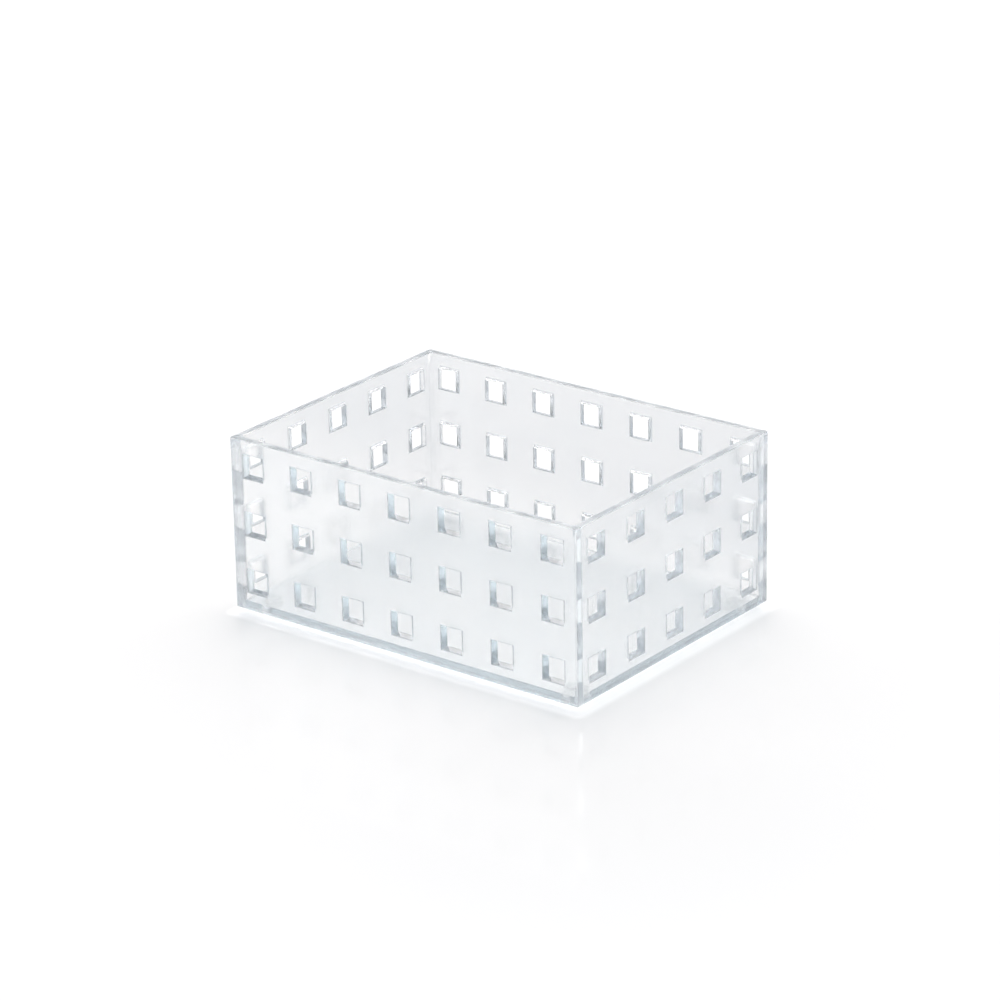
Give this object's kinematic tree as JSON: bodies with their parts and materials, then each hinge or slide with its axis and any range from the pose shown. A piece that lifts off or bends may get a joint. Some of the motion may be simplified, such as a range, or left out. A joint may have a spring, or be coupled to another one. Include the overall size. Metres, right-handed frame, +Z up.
{
  "type": "organizer box",
  "caption": "Open-topped clear plastic organizer box with rows of square windows through all four walls, a flat rim and round clear feet under its corners.",
  "frame": {"origin": "middle of the footprint, on the floor under the feet", "axes": "+X along the long walls, +Y from the front wall to the back wall, +Z up"},
  "size_m": [0.217, 0.162, 0.0956],
  "materials": {
    "clear_wall": "polished clear plastic with a faint blue tint",
    "clear_base": "polished clear plastic with a faint blue tint, stronger where it is seen edge-on",
    "clear_foot": "smooth clear soft plastic"
  },
  "bodies": {
    "root": {"base_plate": "clear_base", "front_wall": "clear_wall", "back_wall": "clear_wall", "left_wall": "clear_wall", "right_wall": "clear_wall", "foot_front_left": "clear_foot", "foot_front_right": "clear_foot", "foot_back_left": "clear_foot", "foot_back_right": "clear_foot"}
  },
  "joints": []
}
